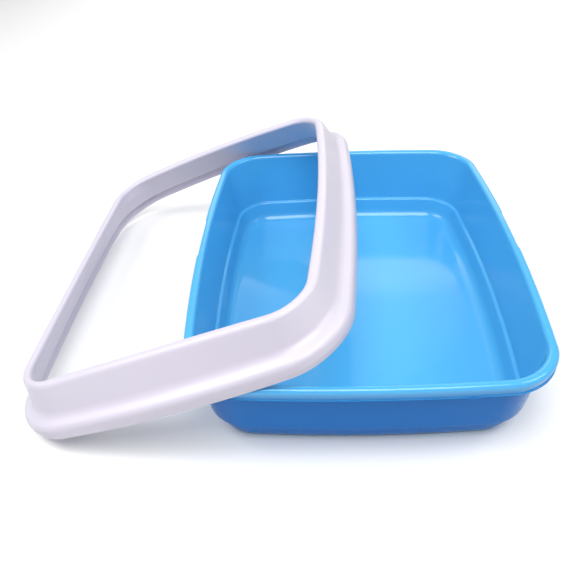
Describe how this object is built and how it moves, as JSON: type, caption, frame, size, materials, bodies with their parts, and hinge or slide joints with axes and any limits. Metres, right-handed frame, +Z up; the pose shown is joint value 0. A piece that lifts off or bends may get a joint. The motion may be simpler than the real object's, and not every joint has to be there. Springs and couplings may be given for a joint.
{
  "type": "cat litter tray with rim frame",
  "caption": "Open rectangular litter tray with a rolled rim, and a low removable rim frame taken off and leaning on the tray's left end.",
  "frame": {"origin": "centre of the tray's flat base, on the floor it stands on", "axes": "+Z up, +Y along the tray's length away from the front end, +X across the tray to the right, away from the end the rim frame leans on"},
  "size_m": [0.5574, 0.4987, 0.1784],
  "materials": {
    "tray_plastic": "glossy sky-blue moulded polypropylene",
    "frame_plastic": "satin white moulded polypropylene with a faint lavender tint"
  },
  "bodies": {
    "tray": {"litter_tray": "tray_plastic"},
    "frame": {"rim_frame": "frame_plastic"}
  },
  "joints": [
    {"name": "frame_lift", "type": "slide", "parent": "tray", "child": "frame", "axis": [0, 0, 1], "range_m": [0, 0.25]}
  ]
}
